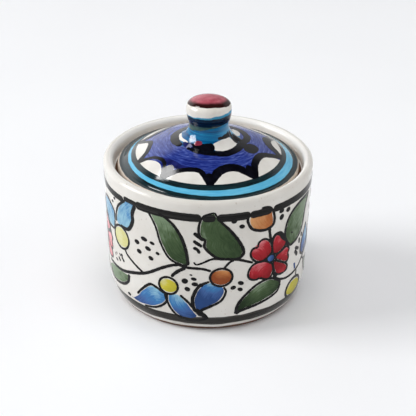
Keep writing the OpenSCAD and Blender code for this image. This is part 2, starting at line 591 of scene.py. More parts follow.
# %% The pot
lean_at_seat = 0.17 * MM
lean_at_ledge = 0.5 * MM
inner_seat = (recess_r - lean_at_seat, seat_z)
seat_edge = (mouth_r, seat_z)
ledge_edge = (mouth_r, seat_z - ledge_t)
ledge_root_r = recess_r - lean_at_ledge
ledge_root = (ledge_root_r, seat_z - ledge_t - (ledge_root_r - mouth_r))
inner_belly_r = belly_r - wall
floor_angle = math.degrees(math.asin((belly_h - floor_z) / inner_belly_r))
foot_angle = math.degrees(math.asin(belly_h / belly_r))
pot_section = [
    Vector((0, floor_z)),
    *arc(belly_x, belly_h, inner_belly_r, -floor_angle, 0),
    *corner((wall_r - wall, belly_h), ledge_root, ledge_edge, 2 * MM),
    *corner(ledge_root, ledge_edge, seat_edge, 0.7 * MM),
    *corner(ledge_edge, seat_edge, inner_seat, 0.7 * MM),
    *corner(seat_edge, inner_seat, (recess_r, lip_z), 0.6 * MM),
    *arc(rim_r - wall / 2, lip_z, wall / 2, 180, 0, 20),
    *arc(belly_x, belly_h, belly_r, 0, 3 - foot_angle, 24),
    *corner((foot_r + 1.2 * MM, 1.4 * MM), (foot_r, 0), (ring_in_r, 0), 0.9 * MM),
    *corner((foot_r, 0), (ring_in_r, 0), (ring_in_r, foot_hollow), 0.4 * MM),
    *corner((ring_in_r, 0), (ring_in_r, foot_hollow), (0, foot_hollow), 0.4 * MM),
    Vector((0, foot_hollow)),
]
pot = turned("pot_shell", pot_section, cream_finish)

# %% [markdown]
# The lid is a hollow dome on a flat brim. Its outside starts on the pad that carries the knob, follows
# the dome to the brim and turns round the soft edge. Then the inside goes back up to the axis on a
# smaller arc about the same centre, which leaves an even wall. A Solidify modifier on half a sphere
# would do nearly the same, but not the brim and its round edge.

# %% The lid
pad_angle = math.degrees(math.acos(knob_foot_r / dome_r))
brim_angle = math.degrees(math.acos(dome_a / dome_r))
inner_dome_r = dome_r - lid_wall
inner_angle = math.degrees(math.asin((lid_z - dome_z) / inner_dome_r))
dome_line = arc(0, dome_z, dome_r, pad_angle, brim_angle + 1.2, 40)
edge_x = lid_r - lid_edge_round
lid_section = [
    Vector((0, knob_z)),
    *dome_line,
    *corner(dome_line[-1], (dome_a + 0.1 * MM, brim_z), (edge_x, brim_z), 2.4 * MM, 7),
    *arc(edge_x, brim_z - lid_edge_round, lid_edge_round, 90, 0, 8),
    *arc(edge_x, lid_z + lid_edge_round, lid_edge_round, 0, -90, 8),
    *arc(0, dome_z, inner_dome_r, inner_angle, 90, 40),
]
lid = turned("lid_shell", lid_section, cobalt_finish)

# %% [markdown]
# The knob was turned by itself: a low crown, a head like a small barrel, a neck, and a foot that flares
# out on the dome. A sphere joined to a cone would leave a crease at the neck. In one section each
# stretch is an arc, and two of them meet in a corner that the glaze has rounded. The corner of the
# crown is where two circles cross, which mathutils works out.

# %% The knob
crown_low = crown_z - crown_r
head_x = head_r - head_curve_r
crossings = intersect_sphere_sphere_2d((0, crown_low), crown_r, (head_x, bulge_z), head_curve_r)
crown_edge = max(crossings, key=lambda point: point.x)
neck_angle = math.degrees(math.asin((bulge_z - neck_z) / head_curve_r))
flare_end = 180 + math.degrees(math.asin(knob_neck_h / flare_r))
crown_line = arc(0, crown_low, crown_r, 90, 65.5, 10)
head_line = arc(head_x, bulge_z, head_curve_r, 12, 6 - neck_angle, 16)
flare_line = arc(flare_x, neck_z, flare_r, 188, flare_end, 20)
knob_section = [
    *crown_line,
    *eased(crown_line[-1], crown_edge, head_line[0], 8)[1:-1],
    *head_line,
    *eased(head_line[-1], (knob_neck_r - 0.2 * MM, neck_z), flare_line[0], 7)[1:-1],
    *flare_line,
    Vector((0, knob_z)),
]
knob = turned("knob_shell", knob_section, knob_finish, 240)

# %% [markdown]
# ### Riding on the frame
#
# On the table the lid lifts off and takes the knob along. In Blender that could be a parent or a
# constraint. Here each shell is parented to an empty for the body it rides on, and the plain solid
# that it stands for is hidden.

# %% Shells on their bodies
for piece, body, stands_for, finish_slot in (
    (pot, "pot", "pot_body", "cream_glaze"),
    (lid, "lid", "lid_dome", "cobalt_glaze"),
    (knob, "lid", "lid_knob", "knob_glaze"),
):
    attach(piece, body)
    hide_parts(stands_for)
    print(piece.name, "rides on the", body)

# %% [markdown]
# ## Paint as thin films
#
# On the real pot the painting is a layer of colour a few hundredths of a millimetre thick. It could be
# one big image texture, but a stroke made as geometry stays sharp at any distance and can be edited on
# its own. So the painting is drawn on a flat canvas in millimetres, as on paper: X runs round the rim
# from the front and Y is the height. A Geometry Nodes tree then gives each stroke a thickness, closes
# it, and bends the canvas round the clay. The lid's canvas is its plan, seen from above.


# %% From the flat canvas to the clay
def on_wall(tree, canvas):
    """Where a point of the wall's canvas lands: X goes round, Y up and Z off the wall."""
    along, height, off = parts_of(tree, canvas)
    turn = calc(tree, "DIVIDE", along, rim_r)
    rise = calc(tree, "SUBTRACT", height, belly_h)
    straight = calc(tree, "MULTIPLY_ADD", rise, wall_lean / (lip_z - belly_h), wall_r)
    square = calc(tree, "SUBTRACT", belly_r**2, calc(tree, "MULTIPLY", rise, rise))
    round_part = calc(tree, "ADD", calc(tree, "SQRT", square), belly_x)
    above = calc(tree, "GREATER_THAN", rise, 0.0)
    out = calc(tree, "MULTIPLY_ADD", above, calc(tree, "SUBTRACT", straight, round_part), round_part)
    back = calc(tree, "MULTIPLY", calc(tree, "COSINE", turn), -1.0)
    way = vector_of(tree, calc(tree, "SINE", turn), back)
    clay = vector_calc(tree, "ADD", vector_calc(tree, "SCALE", way, scale=out), vector_of(tree, z=height))
    return vector_calc(tree, "ADD", wobbled(tree, clay), vector_calc(tree, "SCALE", way, scale=off))


def on_dome(tree, canvas):
    """Where a point of the lid's canvas lands: on the dome, or inside the knob's foot on its flare."""
    off = parts_of(tree, canvas)[2]
    flat = vector_calc(tree, "MULTIPLY", canvas, (1, 1, 0))
    out = length_of(tree, flat)
    square = calc(tree, "SUBTRACT", dome_r**2, calc(tree, "MULTIPLY", out, out))
    dome = calc(tree, "ADD", calc(tree, "SQRT", square), dome_z)
    inward = calc(tree, "SUBTRACT", flare_x, out)
    square = calc(tree, "SUBTRACT", flare_r**2, calc(tree, "MULTIPLY", inward, inward))
    flare = calc(tree, "SUBTRACT", neck_z, calc(tree, "SQRT", square))
    near = calc(tree, "LESS_THAN", out, knob_foot_r)
    height = calc(tree, "MULTIPLY_ADD", near, calc(tree, "SUBTRACT", flare, dome), dome)
    clay = vector_calc(tree, "ADD", flat, vector_of(tree, z=height))
    return vector_calc(tree, "ADD", wobbled(tree, clay), vector_of(tree, z=off))


# %% [markdown]
# There are three kinds of stroke. A line is a curve swept into a flat ribbon, as wide as the curve's
# own radius says. A dab is a small disc put on a point with Instance on Points. A wash is a small grid
# between two edges, which only needs its pinched ends merged.


# %% Lines, dabs and washes
def ribbons(tree, source):
    """Every curve as a flat ribbon, twice as wide as its radius."""
    across = result_of(tree, "GeometryNodeCurvePrimitiveLine", {"Start": (-1, 0, 0), "End": (1, 0, 0)})
    radius = result_of(tree, "GeometryNodeInputRadius")
    inputs = {"Curve": source, "Profile Curve": across, "Scale": radius}
    return result_of(tree, "GeometryNodeCurveToMesh", inputs)


def discs(tree, source):
    """A disc on every point, with the point's own size and tilt."""
    inputs = {"Vertices": 16, "Radius": 1.0}
    disc = result_of(tree, "GeometryNodeMeshCircle", inputs, fill_type="TRIANGLE_FAN")
    size, tilt = (
        result_of(tree, "GeometryNodeInputNamedAttribute", {"Name": name}, data_type="FLOAT_VECTOR")
        for name in ("size", "tilt")
    )
    inputs = {"Points": source, "Instance": disc, "Rotation": tilt, "Scale": size}
    spread = result_of(tree, "GeometryNodeInstanceOnPoints", inputs)
    return result_of(tree, "GeometryNodeRealizeInstances", {"Geometry": spread})


def sheets(tree, source):
    """The washes as they are drawn, with their pinched ends closed."""
    return result_of(tree, "GeometryNodeMergeByDistance", {"Geometry": source, "Distance": seam_gap})


# %% [markdown]
# After that all three go the same way. Extrude Mesh lifts a copy, the flipped original closes the
# bottom, and Set Position lays the film on the clay, sunk in a little so that no gap can show. A film
# is smooth on top and keeps a sharp rim, because only the edges with a small angle are shaded smooth.

# %% Paint trees
paint_sink = 0.06 * MM


def paint_tree(name, flat_strokes, land):
    """A tree that turns flat strokes into closed films on the clay."""
    inputs = [
        ("Source", "NodeSocketGeometry"),
        ("Lift", "NodeSocketFloat"),
        ("Sink", "NodeSocketFloat"),
        ("Paint", "NodeSocketMaterial"),
    ]
    tree, (source, lift, sink, paint, _), result = new_tree(name, inputs)
    sheet = flat_strokes(tree, source)
    thick = vector_of(tree, z=calc(tree, "ADD", lift, sink))
    inputs = {"Mesh": sheet, "Offset": thick, "Offset Scale": 1.0, "Individual": False}
    raised = result_of(tree, "GeometryNodeExtrudeMesh", inputs)
    both = node(tree, "GeometryNodeJoinGeometry", {0: raised})
    tree.links.new(result_of(tree, "GeometryNodeFlipFaces", {"Mesh": sheet}), both.inputs[0])
    inputs = {"Geometry": both.outputs[0], "Distance": seam_gap}
    closed = result_of(tree, "GeometryNodeMergeByDistance", inputs)
    place = result_of(tree, "GeometryNodeInputPosition")
    canvas = vector_calc(tree, "SUBTRACT", place, vector_of(tree, z=sink))
    inputs = {"Geometry": closed, "Position": land(tree, canvas)}
    laid = result_of(tree, "GeometryNodeSetPosition", inputs)
    bend = node(tree, "GeometryNodeInputMeshEdgeAngle").outputs["Unsigned Angle"]
    inputs = {"Geometry": laid, "Shade Smooth": calc(tree, "LESS_THAN", bend, 0.6)}
    edges = result_of(tree, "GeometryNodeSetShadeSmooth", inputs, domain="EDGE")
    faces = result_of(tree, "GeometryNodeSetShadeSmooth", {"Geometry": edges})
    real = result_of(tree, "GeometryNodeRealizeInstances", {"Geometry": faces})
    done = result_of(tree, "GeometryNodeSetMaterial", {"Geometry": real, "Material": paint})
    tree.links.new(done, result[0])
    print("tree for", name, "with", len(tree.nodes), "nodes")
    return tree


wall_line_tree = paint_tree("lines on the wall", ribbons, on_wall)
wall_dab_tree = paint_tree("dabs on the wall", discs, on_wall)
wall_wash_tree = paint_tree("washes on the wall", sheets, on_wall)
lid_line_tree = paint_tree("lines on the lid", ribbons, on_dome)
lid_wash_tree = paint_tree("washes on the lid", sheets, on_dome)

# %% [markdown]
# ## The painter's hand
#
# A painted stroke is a few decisions and one steady sweep. So each stroke is given as a few points,
# and `smooth` runs a curve through them, as the brush would. Blender's own Bezier handles could do it,
# but here the path also has to be measured and divided evenly.


# %% Paths
def smooth(points, step=0.4):
    """Closely spaced points on a smooth curve through the given ones."""
    knots = [Vector(point) for point in points]
    closed = points[0] == points[-1]
    before = knots[-2] if closed else knots[0] * 2 - knots[1]
    after = knots[1] if closed else knots[-1] * 2 - knots[-2]
    chain = [before, *knots, after]
    path = [knots[0]]
    for a, b, c, d in zip(chain, chain[1:], chain[2:], chain[3:]):
        gap = (c - b).length
        leave = (c - a) * gap / ((b - a).length + gap) / 3
        arrive = (d - b) * gap / ((d - c).length + gap) / 3
        count = max(2, math.ceil(gap / step) + 1)
        path += interpolate_bezier(b, b + leave, c - arrive, c, count)[1:]
    return path


def distances(path):
    """How far along the path each of its points is."""
    reach = [0.0]
    for a, b in zip(path, path[1:]):
        reach.append(reach[-1] + (b - a).length)
    return reach


def evenly(path, count):
    """The path again, with evenly spaced points."""
    reach = distances(path)
    spaced = []
    i = 0
    for k in range(count + 1):
        goal = reach[-1] * k / count
        while i < len(path) - 2 and reach[i + 1] < goal:
            i += 1
        share = (goal - reach[i]) / max(reach[i + 1] - reach[i], 1e-9)
        spaced.append(path[i].lerp(path[i + 1], min(share, 1.0)))
    return spaced


# %% [markdown]
# A line's width wavers a little and its ends are round, like those of a loaded brush. The width is
# stored as the radius of the curve's points, which the ribbon tree reads. Every hand is different but
# this one has a fixed seed, so the pot comes out the same each time.

# %% Lines as curves
hand = random.Random(11)


def brush_radii(path, widths, closed):
    """Half the width of a stroke at each point, unsteady, and round at the ends."""
    reach = distances(path)
    phase = hand.uniform(0, 6)
    radii = []
    for at in reach:
        place = at / reach[-1] * (len(widths) - 1)
        i = max(0, min(int(place), len(widths) - 2))
        width = widths[0] if len(widths) == 1 else widths[i] + (widths[i + 1] - widths[i]) * (place - i)
        width += 0.08 * math.sin(at * 1.9 + phase) + 0.05 * math.sin(at * 4.7 + 2 * phase)
        end = min(at, reach[-1] - at) / (width / 2)
        if end < 1 and not closed:
            width *= math.sqrt(max(1 - (1 - end) ** 2, 0.01))
        radii.append(width / 2)
    return radii


def line_source(strokes, shifts):
    """A curve object with one spline for each (points, widths) stroke."""
    data = bpy.data.curves.new("lines", "CURVE")
    data.dimensions = "3D"
    for points, widths in strokes:
        path = smooth(points)
        closed = points[0] == points[-1]
        radii = brush_radii(path, widths, closed)
        for shift in shifts:
            spline = data.splines.new("POLY")
            spline.points.add(len(path) - 1 - closed)
            spline.use_cyclic_u = closed
            for target, (x, y), radius in zip(spline.points, path, radii):
                target.co = ((x + shift) * MM, y * MM, 0, 1)
                target.radius = radius * MM
    return bpy.data.objects.new("lines", data)


# %% [markdown]
# A dab is one touch of the brush. It could be a short line, but a point with a size and a tilt of its
# own is simpler, and one disc can then be repeated on all of them.


# %% Dabs as points
def dab_source(dabs, shifts):
    """A mesh of loose points, one for each (x, y, width, height, tilt) dab."""
    touches = [(x + shift, y, w, h, tilt) for x, y, w, h, tilt in dabs for shift in shifts]
    data = bpy.data.meshes.new("dabs")
    data.from_pydata([(x * MM, y * MM, 0) for x, y, *_ in touches], [], [])
    size = data.attributes.new("size", "FLOAT_VECTOR", "POINT")
    tilt = data.attributes.new("tilt", "FLOAT_VECTOR", "POINT")
    for i, (_, _, w, h, turn) in enumerate(touches):
        size.data[i].vector = (w / 2 * MM, h / 2 * MM, 1)
        tilt.data[i].vector = (0, 0, math.radians(turn))
    return bpy.data.objects.new("dabs", data)


# %% [markdown]
# A wash stops a little short of its outline and leaves a thin pale halo, as on the real pot, where the
# painter outlined first and filled in afterwards. Each of its points also stores where it lies along
# and across the brush, and how far it is from the wash's palest spot. The paint reads that attribute,
# so the streaks follow the leaf and not the pot.

# %% Washes as small grids
row_step = 0.8
column_step = 0.9


def bare_ends(width, halo, row, phase):
    """The shares of a row that stay bare at its two ends, a little unsteady."""
    return [
        min(halo * (1 + 0.06 * math.sin(row * beat + phase)), 0.46 * width) / max(width, 1e-6)
        for beat in (0.9, 0.7)
    ]


def wash_source(washes, shifts):
    """A flat mesh with one small grid for each (left edge, right edge, pale spot, reach, halo) wash."""
    verts, faces, brush = [], [], []
    for left, right, pale, reach, halo in washes:
        left, right = smooth(left), smooth(right)
        rows = max(6, round(distances(left)[-1] / row_step))
        left, right = evenly(left, rows), evenly(right, rows)
        columns = max(4, round(max((b - a).length for a, b in zip(left, right)) / column_step))
        turn = sum(a.cross(b) for a, b in zip(left + right[::-1], left[1:] + right[::-1] + left[:1]))
        phase = hand.uniform(0, 6)
        for shift in shifts:
            first = len(verts)
            for i, (a, b) in enumerate(zip(left, right)):
                width = (b - a).length
                near, far = bare_ends(width, halo, i, phase)
                for j in range(columns + 1):
                    share = near + (1 - near - far) * j / columns
                    point = a.lerp(b, share)
                    verts.append(((point.x + shift) * MM, point.y * MM, 0))
                    brush.append((i * row_step, share * width, (point - Vector(pale)).length / reach))
            for i in range(rows):
                for j in range(columns):
                    a = first + i * (columns + 1) + j
                    quad = (a, a + columns + 1, a + columns + 2, a + 1)
                    faces.append(quad if turn > 0 else quad[::-1])
    data = bpy.data.meshes.new("washes")
    data.from_pydata(verts, [], faces)
    stored = data.attributes.new("brush", "FLOAT_VECTOR", "POINT")
    for target, value in zip(stored.data, brush):
        target.vector = value
    return bpy.data.objects.new("washes", data)


# %% [markdown]
# ### Paints
#
# A wash is darker where the brush lingered and paler where it ran dry. Its colour ramp is driven by the
# stored distance from the palest spot, plus streaks along the brush and some soft blots. A line is
# dense, so its paint has only two shades and a few thin streaks. Plain colours would do from far away,
# but not close up.


# %% Paint materials
def wash_paint(name, *shades):
    """A watery colour that goes through its shades from pale to deep, with brush streaks."""
    finish, tree, shader = new_finish(name, gloss=thin_glaze)
    brush = node(tree, "ShaderNodeAttribute", attribute_name="brush").outputs["Vector"]
    streak = noise(tree, squeezed(tree, brush, 0.16, 1.5, 0), 1, 2)
    place, _ = place_of(tree)
    blot = noise(tree, place, 240, 2)
    depth = calc(tree, "ADD", parts_of(tree, brush)[2], swing(tree, streak, 0.3))
    depth = calc(tree, "ADD", depth, swing(tree, blot, 0.25))
    stops = [0.1 + 0.85 * i / (len(shades) - 1) for i in range(len(shades))]
    tree.links.new(ramp(tree, depth, *zip(stops, shades)), shader.inputs["Base Color"])
    return finish


def brush_paint(name, deep, thin, stretch, gloss=thin_glaze):
    """A dense colour with thin streaks, for lines and bands."""
    finish, tree, shader = new_finish(name, gloss=gloss)
    place, _ = place_of(tree)
    streak = noise(tree, squeezed(tree, place, *stretch), 1, 3)
    tree.links.new(ramp(tree, streak, (0.4, deep), (0.75, thin)), shader.inputs["Base Color"])
    return finish


green_paint = wash_paint("leaf_green", (118, 138, 110), (69, 89, 58), (51, 71, 43), (29, 46, 24))
blue_paint = wash_paint("petal_blue", (142, 186, 206), (62, 122, 178), (64, 97, 155), (40, 70, 122))
yellow_paint = wash_paint("seed_yellow", (214, 212, 162), (200, 188, 62), (184, 174, 56))
orange_paint = wash_paint("bud_orange", (212, 158, 106), (182, 113, 64), (140, 72, 37))
red_paint = wash_paint("berry_red", (230, 146, 152), (172, 35, 46), (132, 13, 23))
line_paint = brush_paint("black_outline", (9, 9, 10), (32, 31, 32), (320, 320, 320))
band_paint = brush_paint("black_band", (9, 9, 9), (50, 49, 48), (14, 14, 1300))
print(len(bpy.data.materials), "materials so far")

# %% [markdown]
# ## Painting the wall
#
# The panel runs from the far left edge of the view to the far right one, a little under half of the way
# round. The other side isn't known, so it gets the same panel again. Two edges and a pale spot make a
# leaf or a petal, and a line along each edge is its outline. All places are millimetres on the canvas,
# and an outline's widths are in brush widths.

# %% Leaves
brush_w = 1.25
lines, bands, dabs = [], [], []
leaves, petals, flowers, buds, seeds = [], [], [], [], []


def line(points, *widths):
    """One outline or stem, as wide as a loaded brush leaves it."""
    lines.append((points, [width * brush_w for width in widths]))


def outlined(kind, first, first_widths, second, second_widths, pale, reach, halo):
    """A wash between two edges, with an outline along each of them."""
    kind.append((first, second, pale, reach, halo))
    line(first, *first_widths)
    line(second, *second_widths)


outlined(
    leaves,
    [(-27.8, 59.7), (-24.1, 53.4), (-21.6, 45.5), (-17.4, 38.4), (-11.6, 35.9), (-8.7, 36)],
    (0.8, 0.9),
    [(-22.4, 60), (-19, 58.6), (-15.3, 55.8), (-11.6, 50), (-9.5, 43.6), (-8.6, 37.8), (-8.7, 36)],
    (0.9, 1.3, 1.2),
    pale=(-24, 60), reach=35, halo=0.8,
)
outlined(
    leaves,
    [(3, 63.4), (-1.8, 61.3), (-3.7, 56.3), (-3.3, 51.3), (-1, 49.3), (-1.2, 46.3), (1.3, 43), (5, 40.3),
     (8.3, 39.8)],
    (0.6, 1.0, 1.1, 0.9),
    [(3, 63.4), (5.4, 59.3), (10.4, 53.8), (15.4, 46.3), (16.8, 41.8), (14.6, 39.3), (8.3, 39.8)],
    (0.6, 1.1, 1.2, 0.9),
    pale=(-20, 52), reach=49, halo=0.8,
)
outlined(
    leaves,
    [(14, 9.8), (15, 15), (19.6, 20.3), (25, 23.8), (31.7, 24.6), (37.7, 21.3), (38.6, 19.5)],
    (1.4, 1.0, 1.0),
    [(14, 9.8), (16.7, 11.3), (25.8, 13), (35, 15.2), (37.3, 16.6), (38.6, 19.5)],
    (1.4, 1.1, 0.9),
    pale=(26, 24), reach=14, halo=0.9,
)
outlined(
    leaves,
    [(44.2, 37), (40.8, 41.3), (39.6, 45.5), (41, 51.3), (44.6, 55), (50.8, 57.2), (61, 57.4)],
    (1.0, 1.2),
    [(44.2, 37), (49.6, 38), (55, 42.2), (57, 50), (58.5, 54), (61, 57.4)],
    (1.0, 0.9),
    pale=(57, 50), reach=40, halo=0.9,
)
# Partly painted light: this leaf on the left edge has its pale spot out at the edge and a long reach, so it
# comes out paler.
leaf_top = [(-41.4, 21.9), (-47.4, 21.4), (-60, 20), (-64, 17)]
leaf_low = [(-41.4, 21.9), (-42.2, 18), (-46.6, 14.6), (-54.9, 12.8), (-60, 13.6), (-64, 17)]
leaves.append((leaf_top, leaf_low, (-57, 17), 60, 0.9))
line(leaf_low, 1.3, 1.1, 0.8)
outlined(
    leaves,
    [(62, 21.5), (68, 20.5), (76, 17), (82, 12)],
    (1.0, 0.9),
    [(62, 21.5), (65, 15), (72, 11.5), (82, 12)],
    (1.0, 0.9),
    pale=(66, 24), reach=24, halo=0.9,
)
print(len(leaves), "leaves on each half")

# %% [markdown]
# The blue petals are made like the leaves. A petal could be one closed outline, filled. But some
# outlines stop early, or go on where the wash ends, because the painter lifted the brush, so those are
# drawn apart from their wash.

# %% Blue petals
petal_top = [(-20, 19.3), (-24.5, 21.5), (-27.8, 22), (-33.2, 17.3), (-36, 13.9), (-41, 10.2)]
petal_low = [(-20, 19.3), (-19.3, 15.1), (-24.5, 10.7), (-32, 8.8), (-38, 8.7), (-41, 10.2)]
petals.append((petal_top, petal_low, (-25, 22), 18, 1.0))
line(petal_top[:5], 1.0, 1.1, 0.9)
line(petal_low[:4], 1.0, 0.9)

wash_low = [(-18.9, 19.7), (-18.5, 14.9), (-14.1, 8.6), (-8, 7), (-4.6, 8)]
wash_top = [(-12.4, 20), (-8.7, 16.8), (-4.6, 10.8)]
petals.append((wash_low, wash_top, (-13, 20), 14, 0.95))
line([(-18.9, 19.7), (-18.5, 14.9), (-14.1, 8.6), (-6.2, 6.3), (0.1, 8), (0.7, 9.3)], 0.9, 1.0, 1.0)
line([(-12.4, 20), (-8.7, 16.8), (-3.3, 10.9), (-1.2, 9.7), (0.7, 9.3)], 0.9, 1.1, 1.0)

outlined(
    petals,
    [(1.3, 28.2), (-3.3, 25.7), (-6.2, 20), (-6.4, 16.3), (-5.5, 13), (-3.3, 11.3)],
    (0.9, 1.4, 1.4),
    [(7.9, 25.1), (9, 22.6), (6.9, 18), (1.3, 14.7), (-2, 13), (-3.3, 11.3)],
    (0.8, 1.0, 1.2),
    pale=(3, 28), reach=9.5, halo=1.05,
)
line([(-5.2, 13.4), (-2.5, 10.8), (0.2, 9.3)], 1.6, 2.6, 1.3)

# Partly painted light: this petal and the next, on the left side, have a pale spot far out at the edge and
# a long reach, so they come out pale.
petal_left = [(-46.5, 45.2), (-50.3, 45.8), (-50, 50.2), (-47.8, 54.8), (-42, 59.8), (-38.6, 60.3)]
petal_right = [(-46.5, 45.2), (-40.5, 45.8), (-37.2, 51), (-37.2, 55), (-35.3, 59.8), (-38.6, 60.3)]
petals.append((petal_left, petal_right, (-58, 30), 140, 1.0))
line(petal_left[1:5], 0.9, 1.1)
line(petal_right[:5], 1.2, 1.7, 1.7)

outlined(
    petals,
    [(-52, 45.5), (-52.3, 50), (-57.8, 53), (-62, 53.3), (-67, 51.5), (-70, 48)],
    [0.9],
    [(-52, 45.5), (-53.2, 41), (-57, 40.3), (-62, 41.2), (-67, 44), (-70, 48)],
    [0.9],
    pale=(-58, 30), reach=110, halo=0.9,
)
outlined(
    petals,
    [(60, 25.5), (55.5, 28.5), (56, 34), (61, 41.5)],
    [0.9],
    [(60, 25.5), (65, 28), (66.5, 33), (61, 41.5)],
    [0.9],
    pale=(62, 36), reach=9, halo=0.8,
)
drip_left = [(48.6, 25.6), (49, 24), (49.6, 22)]
drip_right = [(50.4, 25.4), (50.8, 24), (51.2, 22.2)]
petals.append((drip_left, drip_right, (44, 30), 8, 0.1))
print(len(petals), "blue washes so far")

# %% [markdown]
# A red flower is five petals about a blue eye, and there are two of them, so it is a function that
# moves one drawing. Instances of one mesh would do the same, but the second flower, on the pot's left
# edge, is made a shade paler as painted light, and every outline has its own waver. The eye and the
# seeds are ellipses, cut into two edges like any wash.

# %% The drawing of a flower
flower_eye = (31.4, 35.2)
flower_petals = (
    (
        [(30.2, 37.2), (31.7, 38.4), (31.7, 41), (30.6, 43.8), (28.6, 45.9), (26.2, 46.4), (24.3, 45.3),
         (23.8, 42.8)],
        [(30.2, 37.2), (28, 35.6), (24.5, 35.4), (21.8, 37), (20.3, 40), (20.9, 42.4), (22.4, 43.1),
         (23.8, 42.8)],
        (23, 47),
    ),
    (
        [(32.5, 37.3), (32, 40), (31.9, 43.4), (32.8, 45.9), (34.8, 46.6), (36.4, 45.6), (37.4, 43.6)],
        [(32.5, 37.3), (35, 36.4), (38, 37.2), (40.5, 39.2), (40.9, 41), (39.6, 42), (37.4, 43.6)],
        (36.5, 49.5),
    ),
    (
        [(34, 35), (36, 36.2), (38.6, 36.9), (40.6, 37.9), (42.4, 37.3), (43.6, 35.6), (42.6, 33.6)],
        [(34, 35), (34.9, 33.2), (37.2, 31.9), (40, 30), (42.4, 29.6), (43.5, 31.4), (42.6, 33.6)],
        (43, 41),
    ),
    (
        [(32.9, 33.2), (34.2, 33.1), (37, 31.7), (39.8, 30.1), (42, 28.6), (43, 27), (42.6, 25.4),
         (40.8, 24.5)],
        [(32.9, 33.2), (33.1, 31), (33.8, 28.3), (35, 26), (37.2, 24.8), (40.8, 24.5)],
        (42, 19),
    ),
    (
        [(30.4, 33.4), (28.4, 34.7), (25, 35.1), (22, 34.6), (20, 32.4), (19.4, 30), (20, 27.9),
         (21.8, 26.7), (23.8, 26.3), (25.6, 26.8)],
        [(30.4, 33.4), (32.4, 32), (33.1, 29.6), (32.9, 27), (31.6, 25.2), (29.6, 24.8), (27.6, 25.6),
         (25.6, 26.8)],
        (24.5, 37),
    ),
)
flower_top = [(31.9, 43.4), (32.3, 45.9), (34.2, 46.9), (36.4, 46.3), (38, 44.8), (39.2, 43), (40.9, 41.2),
              (41.2, 39.4), (42.6, 37.8)]
flower_blot = [(33.6, 27.4), (34.4, 25.6), (36.4, 24.6)]
print("a flower has", len(flower_petals), "petals")


# %% Red flowers
def ring(x, y, wide, high):
    """Eight points round an ellipse, and the first again."""
    turns = [math.radians(45 * i) for i in range(8)]
    points = [(x + wide * math.cos(turn), y + high * math.sin(turn)) for turn in turns]
    return [*points, points[0]]


def ball(kind, x, y, wide, high, width, pale, reach, halo):
    """A round eye, seed or bud with its outline."""
    edge = ring(x, y, wide, high)
    kind.append((edge[:5], [edge[0], *edge[-2:3:-1]], pale, reach, halo))
    line(edge, width)


def moved(points, across, up):
    """The same points somewhere else on the canvas."""
    return [(x + across, y + up) for x, y in points]


def flower(across, up, reach):
    """Five red petals about a blue eye, moved by the given distances, and paler where the reach is long."""
    for first, second, pale in flower_petals:
        first, second, (pale,) = (moved(points, across, up) for points in (first, second, [pale]))
        outlined(flowers, first, [0.85], second, [0.85], pale, reach, halo=0.65)
    line(moved(flower_top, across, up), 0.8, 1.2, 1.8, 1.8, 1.0, 0.9)
    line(moved(flower_blot, across, up), 1.0, 1.8, 1.2)
    eye_x, eye_y = flower_eye
    ball(petals, eye_x + across, eye_y + up, 2.3, 2.0, 0.6, (28 + across, 37 + up), 5, 0.2)


flower(0, 0, 12)
# Painted light: with its long reach the second flower, on the pot's left edge, comes out paler.
flower(-100.5, -2, 90)
print(len(flowers), "red petals on each half")

# %% [markdown]
# Seeds and buds are balls of yellow and orange with an outline. A mesh circle would do for the shape,
# but as washes they have the same halo and streaks as the leaves. The bud under the rim is open at the
# top, where it runs into the band, so it is drawn by its two sides.

# %% Seeds and buds
ball(buds, 6.7, 30.2, 5.2, 4.6, 0.9, (8, 35), 6, 0.8)
ball(seeds, -18.1, 23.9, 4.7, 4.4, 0.9, (-22, 28), 9, 1.0)
ball(seeds, -46.6, 39.2, 6.1, 5.7, 0.9, (-51, 42), 40, 1.0)
ball(seeds, 50.2, 12.6, 6.8, 5.0, 1.1, (44, 18), 10, 1.3)
bud_left = [(19, 60), (18.3, 57.2), (20.8, 53), (24.2, 51.7), (27.5, 51.1)]
bud_right = [(31, 59.5), (32, 55.5), (31.7, 53), (30, 51.3), (27.5, 51.1)]
buds.append((bud_left, bud_right, (18, 58), 20, 0.9))
bud_edge = [(18.5, 60.3), (18.2, 57.2), (20.8, 53), (27.5, 51.1), (31.7, 53), (31.5, 58.4), (28.8, 62),
            (24.6, 62.7)]
line(bud_edge, 1.0, 1.2, 1.0)
print(len(seeds), "seeds and", len(buds), "buds on each half")

# %% [markdown]
# The stems tie the panel together, and short strokes beside some leaves are the painter's hatching.
# They could be drawn freehand on the pot with Blender's Draw tool. A few points and widths say the same
# and are easy to move. A stem is thick where the brush was pressed and thin where it left the clay.

